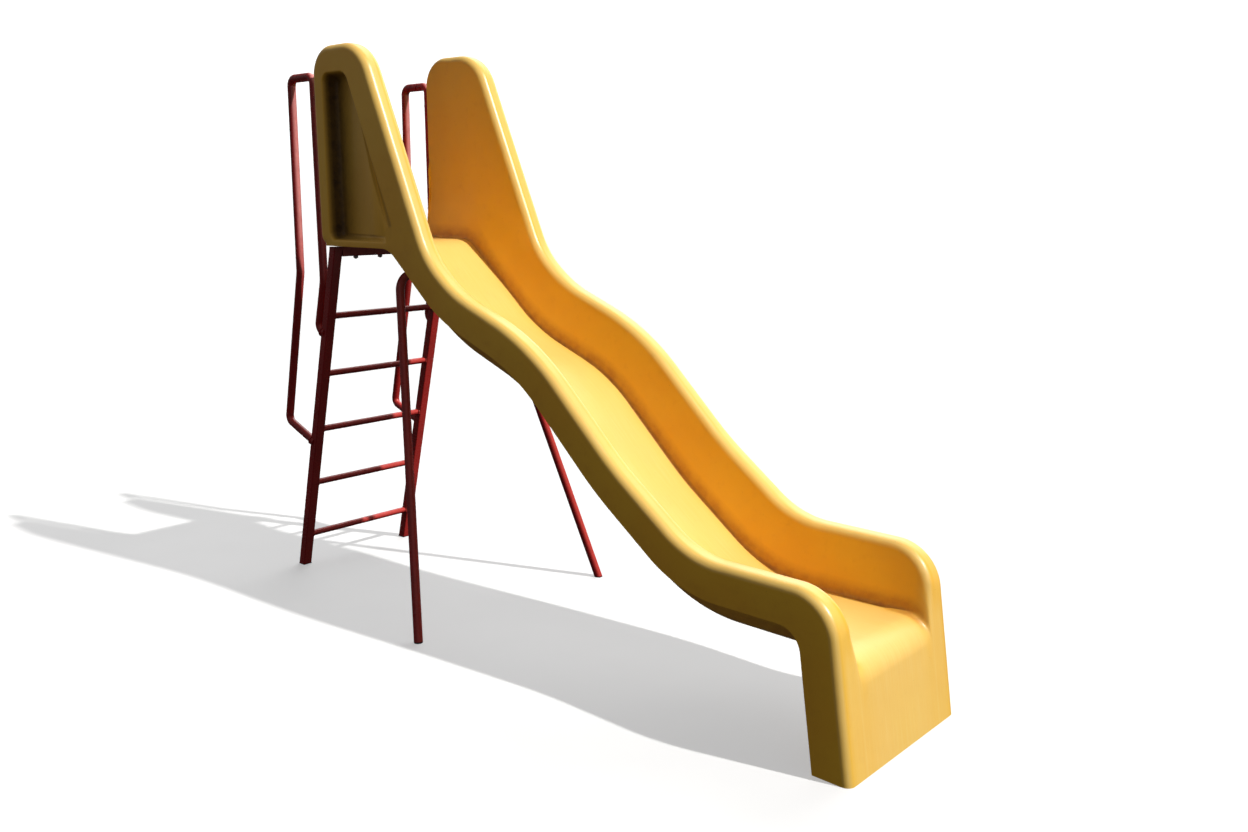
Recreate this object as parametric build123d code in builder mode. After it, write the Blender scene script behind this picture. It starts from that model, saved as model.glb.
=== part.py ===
from build123d import *
from math import hypot, radians, sin, tan
import os

os.makedirs("parts", exist_ok=True)

# Wave slide for a playground: a glass-fibre chute with two waves, tall side wings at the
# platform, a steel ladder with two hoop handrails and one bent-tube trestle.
# Millimetres. X runs downhill, Y across (rider's left is +Y), Z up, ground at Z = 0.

# ---------------------------------------------------------------- chute, side view
skin = 6.0                      # laminate thickness of the whole moulding
rear_edge_x = -1068.0           # rear edge of the platform and the wings
deck_height = 1457.0            # walking surface of the platform
deck_length = 305.0             # platform from its rear edge to the first drop
rear_lip = 18.0                 # turned-down edge at the back of the platform
exit_height = 341.0             # sitting height at the exit
toe_x = 1452.0                  # front edge of the exit where it meets the ground
apron_lean = 8.5                # degrees the exit front leans back from upright

dip_x, dip_z = -361.0, 1115.0   # where the first drop would meet the upper wave
crest_x, crest_z = 37.0, 964.0  # where the upper wave would meet the steep run
bend_x, bend_z = 406.0, 621.0   # where the steep run eases
run_out_x = 795.0               # where the run-out would meet the level exit

roll_radius = 130.0
dip_radius = 780.0
crest_radius = 720.0
bend_radius = 1500.0
run_out_radius = 560.0
nose_radius = 95.0

# ---------------------------------------------------------------- chute, section
clear_width = 464.0             # between the inner walls
rail_width = 91.0               # width of each hollow side rail
wall_height = 212.0             # rail top above the sliding surface, square to it
skirt_depth = 125.0             # outer skirt below the rail top, square to it
rail_round = 28.0               # rounding of the rail's top edges
exit_outer_radius = 155.0
exit_inner_radius = 80.0
skirt_turn_radius = 120.0

# ---------------------------------------------------------------- wings
wing_top = 2207.0
wing_crown_x = -747.0           # where the crown line would meet the sloping front
wing_front_lean = 24.3          # degrees from upright
wing_rear_radius = 115.0
wing_crown_radius = 175.0
wing_foot_radius = 350.0
wing_bottom = 1439.0
wing_corner_radius = 45.0
pocket_rear_flange = 70.0       # flange left behind the hand pocket
pocket_crown = 100.0            # flange left above it
pocket_sill = 18.0              # flange left under it
pocket_depth = 65.0
pocket_length = 337.0           # the pocket runs out flush this far forward
pocket_round = 26.0

# ---------------------------------------------------------------- steelwork
stringer_size = 40.0
stringer_wall = 3.0
ladder_inset = 23.0             # stringer's inner face outside the inner wall
ladder_foot_x = -1401.0         # stringer centre line at the ground
ladder_lean = 0.262             # run per unit of rise
rung_count = 5
rung_pitch = 250.0
first_rung_height = 145.0
rung_radius = 13.45
rung_wall = 2.6
head_beam_size = 40.0
deck_core_thickness = 18.0
deck_core_length = 225.0
deck_core_side_gap = 12.0
plate_thickness = 4.0           # stringer plugs and caps

tube_radius = 16.85             # handrails and trestle
tube_wall = 2.6
handrail_inset = 53.0           # handrail centre outside the inner wall
handrail_top = 2102.0
handrail_crown_x = -1272.0
handrail_knee_x, handrail_knee_z = -1286.0, 1318.0
handrail_low_x, handrail_low_z = -1443.0, 661.0
lower_joint_height = 588.0      # where the hoop's lower end meets the stringer
upper_joint_height = 1075.0
post_x = -1112.0                # upright limb next to the wing
post_foot_height = 1290.0
post_return_x = -1170.0
handrail_corner_radius = 30.0
handrail_sweep_radius = 150.0
handrail_return_radius = 32.0
sleeve_heights = [1580.0, 2020.0]
sleeve_radius = 11.0
handrail_nut = 6.5

trestle_plate_thickness = 8.0
trestle_plate_length = 110.0
trestle_plate_width = 320.0
trestle_top_x = -668.0
trestle_half_top = 232.0
trestle_foot_x = -292.0
trestle_half_foot = 489.0
trestle_bend_radius = 80.0
saddle_width = 40.0
saddle_thickness = 4.0
saddle_y = 120.0
saddle_ear = 26.0

bolt_radius = 5.0
bolt_clearance = 0.5
small_bolt_radius = 4.0
deck_nut_radius = 8.5           # centre of the nut to its flats
small_nut_radius = 6.4
handrail_bolt_head_radius = 6.8
handrail_bolt_head_height = 3.6
saddle_bolt_head_height = 5.2
weld_gap = 0.1                  # a tube end stops this far short of the face it meets
plug_gap = 0.25

anchor_leg = 50.0
anchor_thickness = 5.0
anchor_length = 380.0
anchor_hole_radius = 6.0
anchor_hole_spacing = 260.0

# ---------------------------------------------------------------- geometry helpers


def meet(a, b, c, d):
    """Point where the line a-b crosses the line c-d, in side view."""
    ux, uz = b[0] - a[0], b[1] - a[1]
    vx, vz = d[0] - c[0], d[1] - c[1]
    along = ((c[0] - a[0]) * vz - (c[1] - a[1]) * vx) / (ux * vz - uz * vx)
    return (a[0] + ux * along, a[1] + uz * along)


def shifted(a, b, gap):
    """The line a-b moved sideways: gap > 0 is up and to the left of its run."""
    length = hypot(b[0] - a[0], b[1] - a[1])
    nx, nz = -(b[1] - a[1]) / length, (b[0] - a[0]) / length
    return (a[0] + nx * gap, a[1] + nz * gap), (b[0] + nx * gap, b[1] + nz * gap)


def turn(a, b, c):
    """+1 where the run a-b-c turns left, -1 where it turns right."""
    cross = (b[0] - a[0]) * (c[1] - b[1]) - (b[1] - a[1]) * (c[0] - b[0])
    return 1.0 if cross > 0 else -1.0


def beside(chain, gap):
    """A rounded chain (x, z, radius) moved sideways, its radii kept concentric."""
    lines = [shifted(chain[i], chain[i + 1], gap) for i in range(len(chain) - 1)]
    moved = [(*lines[0][0], 0.0)]
    for i in range(1, len(chain) - 1):
        corner = meet(*lines[i - 1], *lines[i])
        radius = chain[i][2] - gap * turn(chain[i - 1], chain[i], chain[i + 1])
        moved.append((*corner, radius))
    moved.append((*lines[-1][1], 0.0))
    return moved


def rounded_face(corners):
    """Closed face with its own radius at every corner."""
    with BuildSketch(Plane.XY) as sheet:
        with BuildLine():
            Polyline(*[(x, z) for x, z, r in corners], close=True)
        make_face()
        for x, z, r in corners:
            if r > 0:
                near = sheet.vertices().sort_by_distance(Vector(x, z, 0))[0]
                fillet(near, radius=r)
    return sheet.sketch


def rounded_path(corners):
    """Run of lines and arcs through (x, z, radius) points, each bend with its own radius."""
    points = [Vector(x, z) for x, z, r in corners]
    with BuildLine(Plane.XY) as run:
        start = points[0]
        for i in range(1, len(corners) - 1):
            radius = corners[i][2]
            back = (points[i - 1] - points[i]).normalized()
            ahead = (points[i + 1] - points[i]).normalized()
            half = radians(back.get_angle(ahead) / 2.0)
            inward = (back + ahead).normalized()
            first = points[i] + back * (radius / tan(half))
            last = points[i] + ahead * (radius / tan(half))
            middle = points[i] + inward * (radius / sin(half) - radius)
            Line(start, first)
            ThreePointArc(first, middle, last)
            start = last
        Line(start, points[-1])
    return run.line


# ---------------------------------------------------------------- side-view chains
half_clear = clear_width / 2.0
handrail_plane_y = half_clear + handrail_inset
ladder_clear_width = clear_width + 2.0 * ladder_inset
half_width = half_clear + rail_width
apron_run = tan(radians(apron_lean))

rear_top = (rear_edge_x, deck_height)
roll = (rear_edge_x + deck_length, deck_height)
nose = (toe_x - apron_run * exit_height, exit_height)
toe = (toe_x, 0.0)

floor_line = [
    (*rear_top, 0.0),
    (*roll, roll_radius),
    (dip_x, dip_z, dip_radius),
    (crest_x, crest_z, crest_radius),
    (bend_x, bend_z, bend_radius),
    (run_out_x, exit_height, run_out_radius),
    (*nose, nose_radius),
    (*toe, 0.0),
]

rail_side = beside(floor_line[:7], wall_height)
skirt_side = beside(floor_line[:7], wall_height - skirt_depth)
apron_inner = shifted(nose, toe, -skirt_depth)

front_run = tan(radians(wing_front_lean))
crown_front = (wing_crown_x, wing_top)
front_below = (wing_crown_x + front_run * wing_top, 0.0)
wing_foot = meet(crown_front, front_below, rail_side[1], rail_side[2])
exit_top = meet(rail_side[5], rail_side[6], nose, toe)

rail_line = [
    (rear_edge_x, 0.0, 0.0),
    (rear_edge_x, wing_top, wing_rear_radius),
    (*crown_front, wing_crown_radius),
    (*wing_foot, wing_foot_radius),
    *rail_side[2:6],
    (*exit_top, exit_outer_radius),
    (*toe, 0.0),
]

ground = ((0.0, 0.0), (1.0, 0.0))
wing_sill = ((0.0, wing_bottom), (1.0, wing_bottom))
skirt_line = [
    (*meet(*apron_inner, *ground), 0.0),
    (*meet(skirt_side[5], skirt_side[6], *apron_inner), exit_inner_radius),
    skirt_side[5],
    skirt_side[4],
    skirt_side[3],
    skirt_side[2],
    (*meet(skirt_side[1], skirt_side[2], *wing_sill), skirt_turn_radius),
    (rear_edge_x, wing_bottom, wing_corner_radius),
]

# ---------------------------------------------------------------- chute bed
lip_chain = [(rear_edge_x, deck_height - rear_lip, 0.0), (*rear_top, skin + 6.0), *floor_line[1:]]
under_chain = beside(lip_chain, -skin)
under_toe = (*meet(under_chain[-2], under_chain[-1], *ground), 0.0)

bolt_x = ladder_foot_x + ladder_lean * (
    deck_height - skin - deck_core_thickness - head_beam_size / 2.0
)
deck_bolt_ys = [-180.0, -60.0, 60.0, 180.0]

bed_section = lip_chain + [under_toe] + under_chain[-2::-1]
with BuildPart() as chute_bed:
    with BuildSketch(Plane.XZ.offset(-half_clear)):
        add(rounded_face(bed_section))
    extrude(amount=clear_width)
    with Locations(*[(bolt_x, y, deck_height) for y in deck_bolt_ys]):
        Hole(radius=bolt_radius + bolt_clearance, depth=2 * skin)

# ---------------------------------------------------------------- side rails with wings
with BuildPart() as rail_block:
    with BuildSketch(Plane.XZ.offset(-half_width)):
        add(rounded_face(rail_line))
    extrude(amount=rail_width)
    inner_rim = rail_block.faces().sort_by(Axis.Y)[0].edges()
    outer_rim = rail_block.faces().sort_by(Axis.Y)[-1].edges()
    inner_rim = inner_rim.filter_by(
        lambda e: e.center().Z > 1.0 and e.center().X > rear_edge_x + 1.0
    )
    outer_rim = outer_rim.filter_by(lambda e: e.center().Z > 1.0)
    fillet(inner_rim + outer_rim, radius=rail_round)

inside_line = beside(rail_line, -skin)
with BuildPart() as rail_hollow:
    with BuildSketch(Plane.XZ.offset(-(half_width - skin))):
        add(rounded_face(inside_line))
    extrude(amount=rail_width - 2 * skin)
    hollow_rim = rail_hollow.edges().filter_by(
        lambda e: e.center().Z > 1.0
        and not -1.0 < abs(e.center().Y) - (half_width - rail_width / 2.0) < 1.0
    )
    fillet(hollow_rim, radius=rail_round - skin)

pocket_rear = rear_edge_x + pocket_rear_flange
pocket_top = wing_top - pocket_crown
pocket_bottom = wing_bottom + pocket_sill
front_inner = shifted(crown_front, front_below, -skirt_depth)


def pocket_window(grow):
    """Outline of the hand pocket in the wing, seen from the side."""
    top = ((0.0, pocket_top + grow), (1.0, pocket_top + grow))
    sill = ((0.0, pocket_bottom - grow), (1.0, pocket_bottom - grow))
    front = shifted(*front_inner, grow)
    return [
        (pocket_rear - grow, pocket_bottom - grow, 0.0),
        (pocket_rear - grow, pocket_top + grow, pocket_round + grow),
        (*meet(*front, *top), pocket_round + grow),
        (*meet(*front, *sill), 0.0),
    ]


def pocket_wedge(grow):
    """Plan view of the pocket: deep behind the rear flange, flush in front."""
    deep = half_width - pocket_depth - grow
    return [
        (pocket_rear - grow, half_width + skin),
        (pocket_rear - grow, deep),
        (pocket_rear + pocket_length, half_width - grow),
        (pocket_rear + pocket_length, half_width + skin),
    ]


with BuildPart() as pocket:
    with BuildSketch(Plane.XY):
        Polygon(*pocket_wedge(0.0), align=None)
    extrude(amount=wing_top)
    with BuildSketch(Plane.XZ.offset(-(half_width + skin))):
        add(rounded_face(pocket_window(0.0)))
    extrude(amount=rail_width + skin, mode=Mode.INTERSECT)

with BuildPart() as pocket_lining:
    with BuildSketch(Plane.XY):
        Polygon(*pocket_wedge(skin), align=None)
    extrude(amount=wing_top)
    with BuildSketch(Plane.XZ.offset(-(half_width + skin))):
        add(rounded_face(pocket_window(skin)))
    extrude(amount=rail_width + skin, mode=Mode.INTERSECT)

with BuildPart() as rail_space:
    add(rail_hollow.part)
    add(pocket_lining.part, mode=Mode.SUBTRACT)

outer_keep = rail_line[1:] + skirt_line
inner_keep = (
    [(rear_edge_x, under_chain[1][1], 0.0)] + rail_line[1:] + [under_toe] + under_chain[-2:1:-1]
)

with BuildPart() as rail_outline:
    with BuildSketch(Plane.XZ.offset(-(half_clear + skin))):
        add(rounded_face(inner_keep))
    extrude(amount=skin)
    with BuildSketch(Plane.XZ.offset(-half_width)):
        add(rounded_face(outer_keep))
    extrude(amount=rail_width - skin)

# The front runs on flush past the bed, so the rail's rounding dies out below the nose.
with BuildPart() as front_return:
    with BuildSketch(Plane.XZ.offset(-(half_clear + rail_round))):
        add(rounded_face(bed_section))
    extrude(amount=rail_round)
    split(bisect_by=Plane.YZ.offset(nose[0] - nose_radius), keep=Keep.TOP)

with BuildPart() as side_rail_left:
    add(rail_block.part)
    add(rail_outline.part, mode=Mode.INTERSECT)
    add(rail_space.part, mode=Mode.SUBTRACT)
    add(pocket.part, mode=Mode.SUBTRACT)
    add(front_return.part)
    with BuildSketch(Plane.YZ.offset(rear_edge_x - skin)):
        with Locations(*[(handrail_plane_y, z) for z in sleeve_heights]):
            Circle(small_bolt_radius + bolt_clearance)
    extrude(amount=3.0 * skin, mode=Mode.SUBTRACT)

with BuildPart() as side_rail_right:
    add(side_rail_left.part.mirror(Plane.XZ))

# ---------------------------------------------------------------- platform core
core_top = deck_height - skin
core_bottom = core_top - deck_core_thickness
core_rear = rear_edge_x + 2.0 * skin + 2.0
core_middle = core_rear + deck_core_length / 2.0
core_width = clear_width - 2.0 * deck_core_side_gap

with BuildPart() as deck_core:
    with Locations((core_middle, 0.0, core_bottom)):
        Box(deck_core_length, core_width, deck_core_thickness,
            align=(Align.CENTER, Align.CENTER, Align.MIN))
    with Locations(*[(bolt_x, y, core_top) for y in deck_bolt_ys]):
        Hole(radius=bolt_radius + bolt_clearance, depth=deck_core_thickness)

# ---------------------------------------------------------------- ladder
stringer_y = ladder_clear_width / 2.0 + stringer_size / 2.0
stringer_top = core_bottom - plate_thickness


def ladder_x(height):
    """Stringer centre line at a height."""
    return ladder_foot_x + ladder_lean * height


def sloped_prism(low, high, wide, deep):
    """Upright-ended prism that follows the ladder's lean between two heights."""
    with BuildPart() as prism:
        for height in (low, high):
            with BuildSketch(Plane.XY.offset(height)):
                with Locations((ladder_x(height), stringer_y)):
                    Rectangle(deep * hypot(1.0, ladder_lean), wide)
        loft(ruled=True)
    return prism.part


bore_size = stringer_size - 2.0 * stringer_wall
with BuildPart() as stringer_left:
    add(sloped_prism(plate_thickness, stringer_top, stringer_size, stringer_size))
    add(sloped_prism(plate_thickness, stringer_top, bore_size, bore_size), mode=Mode.SUBTRACT)

with BuildPart() as stringer_right:
    add(stringer_left.part.mirror(Plane.XZ))

plug_size = bore_size - 2.0 * plug_gap
plug_reach = plate_thickness + 20.0
with BuildPart() as stringer_foot_plugs:
    add(sloped_prism(0.0, plate_thickness, stringer_size, stringer_size))
    add(sloped_prism(plate_thickness, plug_reach, plug_size, plug_size))
    mirror(about=Plane.XZ)

with BuildPart() as stringer_head_caps:
    add(sloped_prism(stringer_top, core_bottom, stringer_size, stringer_size))
    mirror(about=Plane.XZ)

rungs = []
for i in range(rung_count):
    height = first_rung_height + i * rung_pitch
    with BuildPart() as rung:
        with BuildSketch(Plane.XZ.offset(-(ladder_clear_width / 2.0 - weld_gap))):
            with Locations((ladder_x(height), height)):
                Circle(rung_radius)
                Circle(rung_radius - rung_wall, mode=Mode.SUBTRACT)
        extrude(amount=ladder_clear_width - 2.0 * weld_gap)
    rungs.append(rung)

head_beam_z = core_bottom - head_beam_size / 2.0
head_bore = head_beam_size - 2.0 * stringer_wall
with BuildPart() as head_beam:
    with BuildSketch(Plane.XZ.offset(-(ladder_clear_width / 2.0 - weld_gap))):
        with Locations((ladder_x(head_beam_z), head_beam_z)):
            RectangleRounded(head_beam_size, head_beam_size, 4.0)
            RectangleRounded(head_bore, head_bore, 1.5, mode=Mode.SUBTRACT)
    extrude(amount=ladder_clear_width - 2.0 * weld_gap)
    with Locations(*[(bolt_x, y, core_bottom) for y in deck_bolt_ys]):
        Hole(radius=bolt_radius + bolt_clearance, depth=head_beam_size)

# ---------------------------------------------------------------- platform bolts
bolt_washer = 1.6
bolt_nut = 8.0
bolt_dome = 4.0
bolt_head_radius = 11.0
bolt_end = 3.0                  # thread showing below the nut
beam_bottom = core_bottom - head_beam_size
bolt_tail = beam_bottom - bolt_washer - bolt_nut - bolt_end

with BuildPart() as coach_bolt:
    with BuildSketch(Plane.XZ):
        with BuildLine():
            Line((0.0, deck_height), (0.0, deck_height + bolt_dome))
            ThreePointArc(
                (0.0, deck_height + bolt_dome),
                (0.55 * bolt_head_radius, deck_height + 0.75 * bolt_dome),
                (bolt_head_radius, deck_height),
            )
            Line((bolt_head_radius, deck_height), (0.0, deck_height))
        make_face()
    revolve(axis=Axis.Z)
    with BuildSketch(Plane.XY.offset(bolt_tail)):
        Circle(bolt_radius)
    extrude(amount=deck_height - bolt_tail)

with BuildPart() as deck_bolts:
    with Locations(*[(bolt_x, y, 0.0) for y in deck_bolt_ys]):
        add(coach_bolt.part)

with BuildPart() as deck_washers:
    with BuildSketch(Plane.XY.offset(beam_bottom - bolt_washer)):
        with Locations(*[(bolt_x, y) for y in deck_bolt_ys]):
            Circle(2.0 * bolt_radius)
            Circle(bolt_radius + plug_gap, mode=Mode.SUBTRACT)
    extrude(amount=bolt_washer)

with BuildPart() as deck_nuts:
    with BuildSketch(Plane.XY.offset(beam_bottom - bolt_washer - bolt_nut)):
        with Locations(*[(bolt_x, y) for y in deck_bolt_ys]):
            RegularPolygon(radius=deck_nut_radius, side_count=6, major_radius=False)
            Circle(bolt_radius + weld_gap, mode=Mode.SUBTRACT)
    extrude(amount=bolt_nut)

# ---------------------------------------------------------------- handrails
ladder_face = stringer_size / 2.0 * hypot(1.0, ladder_lean)


def to_ladder(height):
    """Point on the stringer's centre line; the hoop is trimmed back to the rear face."""
    return (ladder_x(height), height, 0.0)


ladder_rear = Plane(
    origin=(ladder_foot_x - ladder_face - weld_gap, 0.0, 0.0),
    x_dir=(0.0, 1.0, 0.0),
    z_dir=(-1.0, 0.0, ladder_lean),
)

handrail_line = [
    to_ladder(lower_joint_height),
    (handrail_low_x, handrail_low_z, handrail_corner_radius),
    (handrail_knee_x, handrail_knee_z, handrail_sweep_radius),
    (handrail_crown_x, handrail_top, handrail_corner_radius),
    (post_x, handrail_top, handrail_corner_radius),
    (post_x, post_foot_height, handrail_sweep_radius),
    (post_return_x, upper_joint_height + 9.0, handrail_return_radius),
    to_ladder(upper_joint_height),
]
handrail_run = Plane.XZ.offset(-handrail_plane_y) * rounded_path(handrail_line)

sleeve_start = post_x + tube_radius
sleeve_seats = [(y, z) for y in (-handrail_plane_y, handrail_plane_y) for z in sleeve_heights]
bolt_hole = small_bolt_radius + bolt_clearance

with BuildPart() as handrail_left:
    with BuildSketch(Plane(origin=handrail_run @ 0, z_dir=handrail_run % 0)):
        Circle(tube_radius)
        Circle(tube_radius - tube_wall, mode=Mode.SUBTRACT)
    sweep(path=handrail_run)
    split(bisect_by=ladder_rear, keep=Keep.TOP)
    with BuildSketch(Plane.YZ.offset(post_x - 2.0 * tube_radius)):
        with Locations(*[(handrail_plane_y, z) for z in sleeve_heights]):
            Circle(bolt_hole)
    extrude(amount=4.0 * tube_radius, mode=Mode.SUBTRACT)

with BuildPart() as handrail_right:
    add(handrail_left.part.mirror(Plane.XZ))

# ---------------------------------------------------------------- handrail fixings
with BuildPart() as handrail_sleeves:
    with BuildSketch(Plane.YZ.offset(sleeve_start)):
        with Locations(*sleeve_seats):
            Circle(sleeve_radius)
            Circle(bolt_hole, mode=Mode.SUBTRACT)
    extrude(amount=rear_edge_x - sleeve_start)

bolt_back = post_x - tube_radius
bolt_front = rear_edge_x + skin + handrail_nut + 2.0
with BuildPart() as handrail_bolts:
    with BuildSketch(Plane.YZ.offset(bolt_back)):
        with Locations(*sleeve_seats):
            Circle(small_bolt_radius)
    extrude(amount=bolt_front - bolt_back)
    with BuildSketch(Plane.YZ.offset(bolt_back)):
        with Locations(*sleeve_seats):
            Circle(handrail_bolt_head_radius)
    extrude(amount=-handrail_bolt_head_height)

with BuildPart() as handrail_nuts:
    with BuildSketch(Plane.YZ.offset(rear_edge_x + skin)):
        with Locations(*sleeve_seats):
            RegularPolygon(radius=small_nut_radius, side_count=6, major_radius=False)
            Circle(small_bolt_radius + weld_gap, mode=Mode.SUBTRACT)
    extrude(amount=handrail_nut)

# ---------------------------------------------------------------- trestle
plate_drop = skin + trestle_plate_thickness + tube_radius
tube_slope = shifted(roll, (dip_x, dip_z), -plate_drop)
above_trestle = ((trestle_top_x, 0.0), (trestle_top_x, 1.0))
trestle_top_z = meet(*tube_slope, *above_trestle)[1]
leg_run = trestle_foot_x - trestle_top_x
leg_reach = hypot(leg_run, trestle_top_z)
trestle_plane = Plane(
    origin=(trestle_top_x, 0.0, trestle_top_z),
    x_dir=(0.0, 1.0, 0.0),
    z_dir=(trestle_top_z, 0.0, leg_run),
)
below = (leg_reach + 60.0) / leg_reach
foot_y = trestle_half_top + (trestle_half_foot - trestle_half_top) * below
trestle_run = trestle_plane * rounded_path([
    (-foot_y, -leg_reach * below, 0.0),
    (-trestle_half_top, 0.0, trestle_bend_radius),
    (trestle_half_top, 0.0, trestle_bend_radius),
    (foot_y, -leg_reach * below, 0.0),
])


def trestle_bar(radius):
    """Round bar along the whole trestle, running on below the ground."""
    with BuildPart() as bar:
        with BuildSketch(Plane(origin=trestle_run @ 0, z_dir=trestle_run % 0)):
            Circle(radius)
        sweep(path=trestle_run)
    return bar.part


with BuildPart() as trestle:
    add(trestle_bar(tube_radius))
    add(trestle_bar(tube_radius - tube_wall), mode=Mode.SUBTRACT)
    split(bisect_by=Plane.XY.offset(plate_thickness), keep=Keep.TOP)

with BuildPart() as trestle_soles:
    add(trestle_bar(tube_radius))
    split(bisect_by=Plane.XY.offset(plate_thickness), keep=Keep.BOTTOM)
    split(bisect_by=Plane.XY, keep=Keep.TOP)

with BuildPart() as trestle_foot_plugs:
    add(trestle_bar(tube_radius - tube_wall - plug_gap))
    split(bisect_by=Plane.XY.offset(plug_reach), keep=Keep.BOTTOM)
    split(bisect_by=Plane.XY, keep=Keep.TOP)
    add(trestle_soles.part)

# ---------------------------------------------------------------- trestle plate and saddles
slope = (Vector(dip_x, 0.0, dip_z) - Vector(roll[0], 0.0, roll[1])).normalized()
square_up = Vector(-slope.Z, 0.0, slope.X)


def across_chute(y):
    """Side-view plane at the trestle tube: x down the slope, y square up to the chute."""
    return Plane(origin=(trestle_top_x, y, trestle_top_z), x_dir=slope, z_dir=(0.0, -1.0, 0.0))


saddle_bolt_u = tube_radius + saddle_thickness + saddle_ear / 2.0
saddle_bolt_seats = [
    Plane(
        origin=Vector(trestle_top_x, y, trestle_top_z) + slope * u + square_up * tube_radius,
        x_dir=slope,
        z_dir=square_up,
    )
    for y in (-saddle_y, saddle_y)
    for u in (-saddle_bolt_u, saddle_bolt_u)
]

with BuildPart() as trestle_plate:
    with BuildSketch(across_chute(trestle_plate_width / 2.0)):
        with Locations((0.0, tube_radius + trestle_plate_thickness / 2.0)):
            Rectangle(trestle_plate_length, trestle_plate_thickness)
    extrude(amount=trestle_plate_width)
    for seat in saddle_bolt_seats:
        with BuildSketch(seat):
            Circle(small_bolt_radius + weld_gap)
        extrude(amount=trestle_plate_thickness, mode=Mode.SUBTRACT)

strap_outer = tube_radius + weld_gap + saddle_thickness
with BuildPart() as trestle_saddles:
    for y in (-saddle_y, saddle_y):
        with BuildSketch(across_chute(y + saddle_width / 2.0)):
            Circle(strap_outer)
            Rectangle(2.0 * strap_outer, tube_radius, align=(Align.CENTER, Align.MIN))
            with Locations((0.0, tube_radius)):
                Rectangle(2.0 * (strap_outer + saddle_ear), saddle_thickness,
                          align=(Align.CENTER, Align.MAX))
            with Locations((0.0, tube_radius)):
                Rectangle(3.0 * strap_outer, strap_outer, align=(Align.CENTER, Align.MIN),
                          mode=Mode.SUBTRACT)
            Circle(tube_radius + weld_gap, mode=Mode.SUBTRACT)
            with Locations((0.0, tube_radius)):
                Rectangle(2.0 * (tube_radius + weld_gap), tube_radius,
                          align=(Align.CENTER, Align.MAX), mode=Mode.SUBTRACT)
        extrude(amount=saddle_width)
    for seat in saddle_bolt_seats:
        with BuildSketch(seat.offset(-2.0 * saddle_thickness)):
            Circle(bolt_hole)
        extrude(amount=3.0 * saddle_thickness, mode=Mode.SUBTRACT)

with BuildPart() as saddle_bolts:
    for seat in saddle_bolt_seats:
        with BuildSketch(seat.offset(-saddle_thickness)):
            RegularPolygon(radius=small_nut_radius, side_count=6, major_radius=False)
        extrude(amount=-saddle_bolt_head_height)
        with BuildSketch(seat.offset(-saddle_thickness)):
            Circle(small_bolt_radius)
        extrude(amount=saddle_thickness + trestle_plate_thickness - 0.5)

# ---------------------------------------------------------------- exit ground anchor
apron_back = shifted(nose, toe, -skin)
anchor_face = shifted(nose, toe, -skin - anchor_thickness)
heel = meet(*apron_back, *ground)
anchor_top = ((0.0, anchor_leg), (1.0, anchor_leg))
foot_top = ((0.0, anchor_thickness), (1.0, anchor_thickness))
anchor_outline = [
    heel,
    meet(*apron_back, *anchor_top),
    meet(*anchor_face, *anchor_top),
    meet(*anchor_face, *foot_top),
    (heel[0] - anchor_leg, anchor_thickness),
    (heel[0] - anchor_leg, 0.0),
]
anchor_hole_x = heel[0] - 0.56 * anchor_leg

with BuildPart() as exit_anchor:
    with BuildSketch(Plane.XZ.offset(-anchor_length / 2.0)):
        Polygon(*anchor_outline, align=None)
    extrude(amount=anchor_length)
    with Locations(*[(anchor_hole_x, y, anchor_thickness)
                     for y in (-anchor_hole_spacing / 2.0, anchor_hole_spacing / 2.0)]):
        Hole(radius=anchor_hole_radius, depth=anchor_thickness)

# ---------------------------------------------------------------- hand over
pieces = {
    "chute_bed": chute_bed,
    "side_rail_left": side_rail_left,
    "side_rail_right": side_rail_right,
    "deck_core": deck_core,
    "head_beam": head_beam,
    "stringer_left": stringer_left,
    "stringer_right": stringer_right,
    "stringer_foot_plugs": stringer_foot_plugs,
    "stringer_head_caps": stringer_head_caps,
    "handrail_left": handrail_left,
    "handrail_right": handrail_right,
    "handrail_sleeves": handrail_sleeves,
    "handrail_bolts": handrail_bolts,
    "handrail_nuts": handrail_nuts,
    "deck_bolts": deck_bolts,
    "deck_washers": deck_washers,
    "deck_nuts": deck_nuts,
    "trestle": trestle,
    "trestle_foot_plugs": trestle_foot_plugs,
    "trestle_plate": trestle_plate,
    "trestle_saddles": trestle_saddles,
    "saddle_bolts": saddle_bolts,
    "exit_anchor": exit_anchor,
}
for i, rung in enumerate(rungs):
    pieces[f"rung_{i + 1}"] = rung

for name, piece in pieces.items():
    piece.part.label = name
    export_step(piece.part, f"parts/{name}.step")
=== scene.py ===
import math
import random

import bmesh
import bpy
from mathutils import Matrix, Vector


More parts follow.
